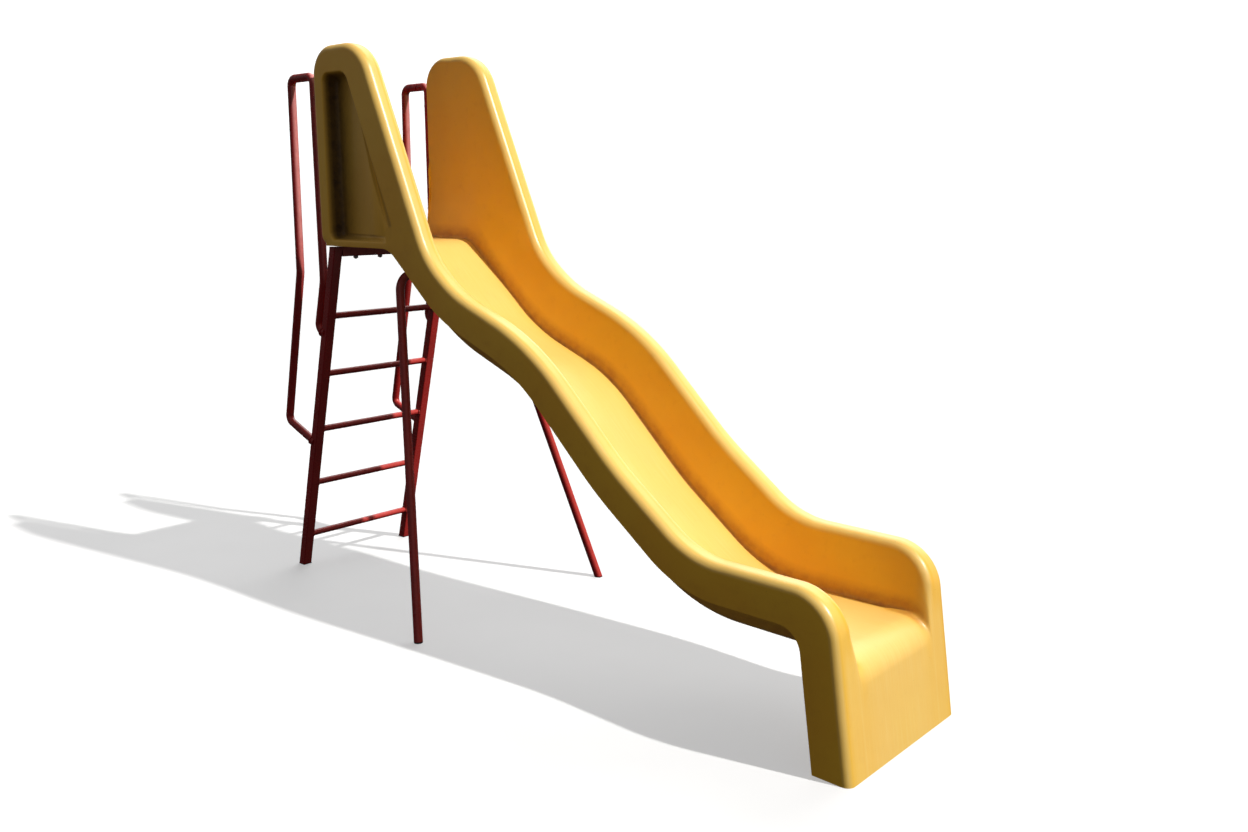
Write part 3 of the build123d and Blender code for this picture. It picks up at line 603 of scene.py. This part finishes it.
# Stove enamel on steel tube: deep red and glossy, slightly wavy, chalked and with painted
# sunlight:
# lighter pink on the faces that meet the sun, more so and paler high up, with small chips down to
# brown rust, pale at their edges.
# The waviness is drawn coarser than real, to show.
tree = new_finish(FINISH[ENAMEL])
where = place(tree, "ShaderNodeTexCoord", "Object")
cloud = place(tree, NOISE, "Fac", {"Vector": where, "Scale": blotch(160.0), "Detail": 4.0,
                                   "Roughness": 0.55})
mottle = place(tree, NOISE, "Fac", {"Vector": where, "Scale": blotch(22.0), "Detail": 5.0,
                                    "Roughness": 0.65})
chip_field = place(tree, NOISE, "Fac", {"Vector": where, "Scale": blotch(11.0), "Detail": 4.0,
                                        "Roughness": 0.6})
wave = place(tree, NOISE, "Fac", {"Vector": where, "Scale": blotch(9.0), "Detail": 2.0,
                                  "Roughness": 0.55})
uneven = place(tree, RANGE, 0, {"Value": cloud, "From Min": 0.35, "From Max": 0.70}, **SOFT)
darker = place(tree, RANGE, 0, {"Value": mottle, "From Min": 0.55, "From Max": 0.80,
                                "To Max": 0.35}, **SOFT)
outward = place(tree, "ShaderNodeNewGeometry", "Normal")
facing = place(tree, "ShaderNodeVectorMath", "Value", {0: outward, 1: Vector((0.80, 0.05, 0.60))},
               operation="DOT_PRODUCT")
sunward = place(tree, RANGE, 0, {"Value": facing, "From Min": 0.40, "From Max": 0.90}, **SOFT)
patchy = place(tree, RANGE, 0, {"Value": mottle, "From Min": 0.30, "From Max": 0.70,
                                "To Min": 0.90, "To Max": 0.60}, **SOFT)
height = place(tree, "ShaderNodeSeparateXYZ", "Z", {0: where})
# Painted sunlight with chalking grows stronger and paler between 1.1 and 1.6 m up.
height_share = place(tree, RANGE, 0, {"Value": height, "From Min": 1.1, "From Max": 1.6}, **SOFT)
height_weight = place(tree, RANGE, 0, {"Value": height, "From Min": 1.1, "From Max": 1.6,
                                 "To Min": 0.65}, **SOFT)
# Painted sunlight with chalking on the faces that meet the sun, made patchy.
chalk_and_sunlight = place(tree, MATH, 0, {0: sunward, 1: patchy}, **TIMES)
chalk_and_sunlight = place(tree, MATH, 0, {0: chalk_and_sunlight, 1: height_weight}, **TIMES)
chip = place(tree, RANGE, 0, {"Value": chip_field, "From Min": 0.735, "From Max": 0.755}, **SOFT)
chip_edge = place(tree, RANGE, 0, {"Value": chip_field, "From Min": 0.70, "From Max": 0.735,
                                   "To Max": 0.35}, **SOFT)
body = place(tree, MIX, 2, {0: uneven, 6: paint("#981A1A"), 7: paint("#861515")}, **COLOURS)
body = place(tree, MIX, 2, {0: darker, 6: body, 7: paint("#7A1414")}, **COLOURS)
# Colour of the chalking and painted sunlight: red-pink low down, pale pink high up.
chalked_and_lit = place(tree, MIX, 2, {0: height_share, 6: paint("#E2554C"), 7: paint("#EBA09C")}, **COLOURS)
body = place(tree, MIX, 2, {0: chalk_and_sunlight, 6: body, 7: chalked_and_lit}, **COLOURS)
body = place(tree, MIX, 2, {0: chip, 6: body, 7: paint("#4A2A1C")}, **COLOURS)
body = place(tree, MIX, 2, {0: chip_edge, 6: body, 7: paint("#D2686A")}, **COLOURS)
rough = place(tree, RANGE, 0, {"Value": mottle, "From Min": 0.35, "From Max": 0.75,
                               "To Min": 0.24, "To Max": 0.38}, **SOFT)
rusty = place(tree, MATH, 0, {0: chip, 1: 0.40}, **TIMES)
rough = place(tree, MATH, 0, {0: rough, 1: rusty}, **PLUS)
relief = place(tree, BUMP, 0, {"Strength": 0.18, "Distance": 0.0015, "Height": wave})
relief = place(tree, BUMP, 0, {"Strength": 0.5, "Distance": 0.0006, "Height": chip,
                               "Normal": relief}, invert=True)
surface = place(tree, SHADER, 0, {"Base Color": body, "Roughness": rough, "Normal": relief,
                                  "Specular IOR Level": 0.35, "Coat Weight": 0.08,
                                  "Coat Roughness": 0.20})
place(tree, SURFACE, None, {"Surface": surface})

# Polyethylene end plugs, injection moulded: dull black with scuffs and dust.
tree = new_finish(FINISH[PLUG])
where = place(tree, "ShaderNodeTexCoord", "Object")
dust = place(tree, NOISE, "Fac", {"Vector": where, "Scale": blotch(14.0), "Detail": 5.0,
                                  "Roughness": 0.55})
pimple = place(tree, NOISE, "Fac", {"Vector": where, "Scale": blotch(1.2), "Detail": 2.0,
                                    "Roughness": 0.55})
dusty = place(tree, RANGE, 0, {"Value": dust, "From Min": 0.45, "From Max": 0.75,
                               "To Max": 0.6}, **SOFT)
body = place(tree, MIX, 2, {0: dusty, 6: paint("#161617"), 7: paint("#4B4842")}, **COLOURS)
rough = place(tree, RANGE, 0, {"Value": dust, "From Min": 0.3, "From Max": 0.8,
                               "To Min": 0.42, "To Max": 0.75}, **SOFT)
relief = place(tree, BUMP, 0, {"Strength": 0.25, "Distance": 0.0005, "Height": pimple})
surface = place(tree, SHADER, 0, {"Base Color": body, "Roughness": rough, "Normal": relief})
place(tree, SURFACE, None, {"Surface": surface})

# Hot-dip galvanised fastenings: grey zinc with a spangle and white bloom in the hollows.
tree = new_finish(FINISH[GALVANISED])
where = place(tree, "ShaderNodeTexCoord", "Object")
spangle = place(tree, "ShaderNodeTexVoronoi", "Color", {"Vector": where, "Scale": blotch(6.0)})
bloom = place(tree, NOISE, "Fac", {"Vector": where, "Scale": blotch(9.0), "Detail": 4.0,
                                   "Roughness": 0.55})
shade = place(tree, "ShaderNodeSeparateColor", 0, {"Color": spangle})
crystal = place(tree, RANGE, 0, {"Value": shade}, **SOFT)
white = place(tree, RANGE, 0, {"Value": bloom, "From Min": 0.5, "From Max": 0.75,
                               "To Max": 0.5}, **SOFT)
body = place(tree, MIX, 2, {0: crystal, 6: paint("#8E9396"), 7: paint("#A9AEB0")}, **COLOURS)
body = place(tree, MIX, 2, {0: white, 6: body, 7: paint("#C9C9C4")}, **COLOURS)
rough = place(tree, RANGE, 0, {"Value": shade, "To Min": 0.34, "To Max": 0.52}, **SOFT)
surface = place(tree, SHADER, 0, {"Base Color": body, "Roughness": rough, "Metallic": 0.85})
place(tree, SURFACE, None, {"Surface": surface})

# Marine plywood under the platform, resin coated: brown face veneer with its grain across,
# drawn coarser than real, to show.
tree = new_finish(FINISH[PLYWOOD])
where = place(tree, "ShaderNodeTexCoord", "Object")
drawn_out = place(tree, "ShaderNodeMapping", 0, {"Vector": where, "Scale": (1.0, 0.08, 1.0)})
veneer = place(tree, NOISE, "Fac", {"Vector": drawn_out, "Scale": blotch(9.0), "Detail": 6.0,
                                    "Roughness": 0.7})
figure = place(tree, RANGE, 0, {"Value": veneer, "From Min": 0.3, "From Max": 0.7}, **SOFT)
body = place(tree, MIX, 2, {0: figure, 6: paint("#6E4A2A"), 7: paint("#A97C4C")}, **COLOURS)
rough = place(tree, RANGE, 0, {"Value": veneer, "From Min": 0.3, "From Max": 0.7,
                               "To Min": 0.45, "To Max": 0.7}, **SOFT)
relief = place(tree, BUMP, 0, {"Strength": 0.3, "Distance": 0.0005, "Height": veneer})
surface = place(tree, SHADER, 0, {"Base Color": body, "Roughness": rough, "Normal": relief})
place(tree, SURFACE, None, {"Surface": surface})


# ------------------------------------------------------------------ steel pieces
def ladder_x(height):
    """Stringer centre line at a height."""
    return LADDER_FOOT_X + LADDER_LEAN * height


def bent_line(corners):
    """Centre line of a bent tube through (point, bend radius) corners, as close points."""
    points = [Vector(p) for p, r in corners]
    line = [points[0]]
    for i in range(1, len(points) - 1):
        radius = corners[i][1]
        back = (points[i - 1] - points[i]).normalized()
        ahead = (points[i + 1] - points[i]).normalized()
        half = back.angle(ahead) / 2.0
        first = points[i] + back * (radius / math.tan(half))
        centre = points[i] + (back + ahead).normalized() * (radius / math.sin(half))
        axis = (-back).cross(ahead).normalized()
        sweep = math.pi - 2.0 * half
        cuts = max(4, round(math.degrees(sweep) / 5.0))
        for k in range(cuts + 1):
            line.append(centre + Matrix.Rotation(sweep * k / cuts, 3, axis) @ (first - centre))
    line.append(points[-1])
    return line


def sweep_tube(bm, line, radius, sides=40, closed=False, swell=None):
    """Round tube drawn along a line of points by extruding a circle."""
    count = len(line)
    ways = []
    for i in range(count):
        behind = line[i - 1] if closed or i > 0 else line[i]
        beyond_it = line[(i + 1) % count] if closed or i < count - 1 else line[i]
        ways.append((beyond_it - behind).normalized())
    turn_to = Vector((0, 0, 1)).rotation_difference(ways[0])
    made = bmesh.ops.create_circle(bm, segments=sides, radius=radius, cap_ends=False)["verts"]
    first = list(made)
    ring_edges = list({e for v in made for e in v.link_edges})
    bmesh.ops.transform(bm, verts=made, matrix=Matrix.Translation(line[0])
                        @ turn_to.to_matrix().to_4x4())
    rings = [made]
    for i in range(1, count):
        out = bmesh.ops.extrude_edge_only(bm, edges=ring_edges)["geom"]
        ring_edges = [g for g in out if isinstance(g, bmesh.types.BMEdge)]
        made = [g for g in out if isinstance(g, bmesh.types.BMVert)]
        swing = ways[i - 1].rotation_difference(ways[i]).to_matrix().to_4x4()
        bmesh.ops.transform(bm, verts=made, matrix=Matrix.Translation(line[i]) @ swing
                            @ Matrix.Translation(-line[i - 1]))
        rings.append(made)
    if swell is not None:
        for ring, centre, k in zip(rings, line, range(count)):
            for v in ring:
                v.co = centre + (v.co - centre) * swell(k)
    if closed:
        last_edges = ring_edges
        start_edges = [e for v in first for e in v.link_edges if e.other_vert(v) in set(first)]
        bmesh.ops.bridge_loops(bm, edges=list(set(last_edges + start_edges)))
    else:
        bmesh.ops.holes_fill(bm, edges=[e for e in bm.edges if e.is_boundary], sides=0)
    return bm


def tube_piece(name, line, radius, nodes):
    """A bent tube as its own piece."""
    bm = sweep_tube(bmesh.new(), line, radius)
    bmesh.ops.recalc_face_normals(bm, faces=bm.faces)
    return finish_piece(name, bm, ENAMEL, nodes)


def weld_line(centre, axis, radius, face_point, face_normal, cuts=48):
    """Where a round tube meets a flat face."""
    axis = Vector(axis).normalized()
    normal = Vector(face_normal).normalized()
    side = axis.orthogonal().normalized()
    other = axis.cross(side)
    line = []
    for k in range(cuts):
        a = 2.0 * math.pi * k / cuts
        point = Vector(centre) + (side * math.cos(a) + other * math.sin(a)) * radius
        line.append(point + axis * ((Vector(face_point) - point).dot(normal) / axis.dot(normal)))
    return line


chance = random.Random(7)


def add_weld(bm, line, size):
    """Rippled weld bead along a closed line."""
    ripple = [1.0 + 0.16 * math.sin(2.3 * k) + chance.uniform(-0.10, 0.10)
              for k in range(len(line))]
    sweep_tube(bm, line, size, sides=10, closed=True, swell=lambda k: ripple[k])


finish_piece("chute_moulding", chute_moulding(), GELCOAT,
             ["chute_bed", "side_rail_left", "side_rail_right"], crease=65.0)

stringer_low, stringer_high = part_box("stringer_left")
STRINGER_Y = (stringer_low.y + stringer_high.y) / 2.0
STRINGER_TOP = stringer_high.z
STRINGER_FOOT = stringer_low.z
lean = math.hypot(1.0, LADDER_LEAN)


def leaning_bar(low, high, side):
    """Square stringer bar along the ladder's lean between two heights."""
    bm = bmesh.new()
    bmesh.ops.create_cube(bm, size=1.0)
    for v in bm.verts:
        z = high if v.co.z > 0 else low
        v.co = (ladder_x(z) + v.co.x * STRINGER * lean, side * STRINGER_Y + v.co.y * STRINGER, z)
    return bm


for side, word in ((1, "left"), (-1, "right")):
    bm = leaning_bar(STRINGER_FOOT, STRINGER_TOP, side)
    upright = [e for e in bm.edges if abs(e.verts[0].co.z - e.verts[1].co.z) > 0.1]
    bmesh.ops.bevel(bm, geom=upright, offset=STRINGER_ROUND, affect="EDGES", segments=6,
                    profile=0.5, material=-1)
    finish_piece(f"stringer_{word}_tube", bm, ENAMEL, [f"stringer_{word}"], crease=60.0)

for node, low, high, slot in (("stringer_foot_plugs", 0.0, STRINGER_FOOT, PLUG),
                              ("stringer_head_caps", STRINGER_TOP, STRINGER_TOP + CAP, ENAMEL)):
    bm = bmesh.new()
    for side in (1, -1):
        part = bpy.data.meshes.new("part")
        made = leaning_bar(low, high, side)
        made.to_mesh(part)
        made.free()
        bm.from_mesh(part)
    finish_piece(f"{node}_moulded", bm, slot, [node], bevel=0.0012)

# Weld beads: how far each stands off its tube, and its own radius.
RUNG_WELD_OFF, RUNG_WELD = 0.0016, 0.0034
HOOP_WELD_OFF, HOOP_WELD = 0.0015, 0.0036
SLEEVE_WELD = 0.0026
rung_names = [f"rung_{k}" for k in range(1, 6)]
welds = bmesh.new()
for name in rung_names:
    low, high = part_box(name)
    x, z = (low.x + high.x) / 2.0, (low.z + high.z) / 2.0
    half = high.y
    line = [Vector((x, -half + 2.0 * half * k / 8.0, z)) for k in range(9)]
    tube_piece(f"{name}_tube", line, RUNG_RADIUS, [name])
    for side in (1, -1):
        add_weld(welds, weld_line((x, 0, z), (0, 1, 0), RUNG_RADIUS + RUNG_WELD_OFF,
                                  (x, side * (half + 0.0001), z), (0, 1, 0)), RUNG_WELD)

# Side view of a handrail as corners ((x, z), bend radius), up from its lower weld and round.
hoop_corners = [
    ((ladder_x(HOOP_LOW_END), HOOP_LOW_END), 0.0),
    ((-1.443, 0.661), TIGHT_BEND),
    ((-1.286, 1.318), LONG_BEND),
    ((-1.272, HOOP_TOP), TIGHT_BEND),
    ((POST_X, HOOP_TOP), TIGHT_BEND),
    ((POST_X, 1.290), LONG_BEND),
    ((-1.170, 1.084), POST_FOOT_BEND),
    ((ladder_x(HOOP_HIGH_END), HOOP_HIGH_END), 0.0),
]
ladder_back = (LADDER_FOOT_X - STRINGER / 2.0 * lean, 0.0, 0.0)
ladder_out = (-1.0, 0.0, LADDER_LEAN)
for side, word in ((1, "left"), (-1, "right")):
    hoop = bent_line([((x, side * HOOP_Y, z), r) for (x, z), r in hoop_corners])
    tube_piece(f"handrail_{word}_tube", hoop, TUBE_RADIUS, [f"handrail_{word}"])
    for end, near in ((hoop[0], hoop[1]), (hoop[-1], hoop[-2])):
        add_weld(welds, weld_line(end, near - end, TUBE_RADIUS + HOOP_WELD_OFF, ladder_back,
                                  ladder_out), HOOP_WELD)

for side in (1, -1):
    for z in SLEEVE_HEIGHTS:
        line = []
        for k in range(40):
            a = 2.0 * math.pi * k / 40.0
            y = SLEEVE_RADIUS * math.cos(a)
            line.append(Vector((POST_X + math.sqrt(TUBE_RADIUS ** 2 - y ** 2),
                                side * HOOP_Y + y, z + SLEEVE_RADIUS * math.sin(a))))
        add_weld(welds, line, SLEEVE_WELD)
finish_piece("steelwork_welds", welds, ENAMEL)

trestle_top_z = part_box("trestle")[1].z - TUBE_RADIUS
legs = [((TRESTLE_FOOT_X, -TRESTLE_FOOT_Y, 0.0), 0.0),
        ((TRESTLE_TOP_X, -TRESTLE_TOP_Y, trestle_top_z), TRESTLE_BEND),
        ((TRESTLE_TOP_X, TRESTLE_TOP_Y, trestle_top_z), TRESTLE_BEND),
        ((TRESTLE_FOOT_X, TRESTLE_FOOT_Y, 0.0), 0.0)]
bm = sweep_tube(bmesh.new(), bent_line(legs), TUBE_RADIUS)
every = list(bm.verts) + list(bm.edges) + list(bm.faces)
bmesh.ops.bisect_plane(bm, geom=every, plane_co=(0, 0, FOOT_PLUG), plane_no=(0, 0, -1),
                       clear_outer=True)
bmesh.ops.holes_fill(bm, edges=[e for e in bm.edges if e.is_boundary], sides=0)
bmesh.ops.recalc_face_normals(bm, faces=bm.faces)
finish_piece("trestle_tube", bm, ENAMEL, ["trestle"])

# ------------------------------------------------------------------ carried-over CAD nodes
kept = {
    "deck_core": PLYWOOD, "head_beam": ENAMEL, "handrail_sleeves": ENAMEL,
    "trestle_plate": ENAMEL, "trestle_saddles": GALVANISED, "saddle_bolts": GALVANISED,
    "deck_bolts": GALVANISED, "deck_washers": GALVANISED, "deck_nuts": GALVANISED,
    "handrail_bolts": GALVANISED, "handrail_nuts": GALVANISED, "exit_anchor": GALVANISED,
    "trestle_foot_plugs": PLUG,
}
for name, slot in kept.items():
    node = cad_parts[name]
    node.data.materials.clear()
    node.data.materials.append(bpy.data.materials[FINISH[slot]])

# ------------------------------------------------------------------ stage, light and camera
# Painted studio cove: matt white that takes a light grey shadow and glows a little, more so
# higher up.
WHITE = (1.0, 1.0, 1.0, 1.0)
tree = new_finish("studio_white")
where = place(tree, "ShaderNodeTexCoord", "Object")
cloud = place(tree, NOISE, "Fac", {"Vector": where, "Scale": blotch(900.0), "Detail": 3.0,
                                   "Roughness": 0.55})
uneven = place(tree, RANGE, 0, {"Value": cloud, "From Min": 0.3, "From Max": 0.7}, **SOFT)
tone = place(tree, MIX, 2, {0: uneven, 6: paint("#BDBDBD"), 7: paint("#C2C2C2")}, **COLOURS)
height = place(tree, "ShaderNodeSeparateXYZ", "Z", {0: where})
glow = place(tree, RANGE, 0, {"Value": height, "From Min": 0.2, "From Max": 3.0,
                              "To Min": 0.38, "To Max": 0.75}, **SOFT)
surface = place(tree, SHADER, 0, {"Base Color": tone, "Roughness": 0.9,
                                  "Specular IOR Level": 0.0, "Emission Color": WHITE,
                                  "Emission Strength": glow})
place(tree, SURFACE, None, {"Surface": surface})

COVE_HALF, COVE_HEIGHT = 14.0, 9.0
COVE_RISE = (5.5, 15.0)         # where the floor starts to climb, and where it ends
bm = bmesh.new()
bmesh.ops.create_grid(bm, x_segments=60, y_segments=60, size=COVE_HALF)
for v in bm.verts:
    away = (v.co.y - v.co.x) / math.sqrt(2.0)
    v.co.z = COVE_HEIGHT * ease(away, *COVE_RISE)
for f in bm.faces:
    f.smooth = True
mesh = bpy.data.meshes.new("studio_cove")
bm.to_mesh(mesh)
bm.free()
cove = bpy.data.objects.new("studio_cove", mesh)
bpy.context.scene.collection.objects.link(cove)
mesh.materials.append(bpy.data.materials["studio_white"])
cove.visible_diffuse = False
cove.visible_glossy = False

sun = bpy.data.lights.new("sun", "SUN")
sun.energy = 3.9
sun.angle = math.radians(1.2)
sun.color = (1.0, 0.985, 0.96)
lamp = bpy.data.objects.new("sun", sun)
lamp.rotation_euler = Vector((-0.922, -0.287, -1.0)).to_track_quat("-Z", "Y").to_euler()
bpy.context.scene.collection.objects.link(lamp)

# Dim room with one broad softbox high behind the slide.
world = bpy.data.worlds.new("studio")
bpy.context.scene.world = world
world.use_nodes = True
tree = world.node_tree
around = place(tree, "ShaderNodeTexCoord", "Generated")
towards = place(tree, "ShaderNodeVectorMath", "Value", {0: around, 1: Vector((-0.30, 0.75, 0.59))},
                operation="DOT_PRODUCT")
height = place(tree, "ShaderNodeSeparateXYZ", "Z", {0: around})
room = place(tree, RANGE, 0, {"Value": height, "From Min": -0.25, "From Max": 0.25,
                              "To Min": 0.045, "To Max": 0.225}, **SOFT)
softbox = place(tree, RANGE, 0, {"Value": towards, "From Min": 0.78, "From Max": 0.96,
                                 "To Max": 2.4}, **SOFT)
glow = place(tree, MATH, 0, {0: room, 1: softbox}, **PLUS)
tree.links.new(glow, tree.nodes["Background"].inputs["Strength"])
tree.nodes["Background"].inputs["Color"].default_value = WHITE

scene = bpy.context.scene
scene.view_settings.view_transform = "Standard"
camera = bpy.data.cameras.new("camera")
camera.sensor_width = 36.0
camera.lens = 31.882
viewer = bpy.data.objects.new("camera", camera)
viewer.location = (2.8857, -2.8505, 1.6483)
viewer.rotation_euler = (math.radians(90.0 - 11.4285), 0.0, math.radians(42.1865))
scene.collection.objects.link(viewer)
scene.camera = viewer
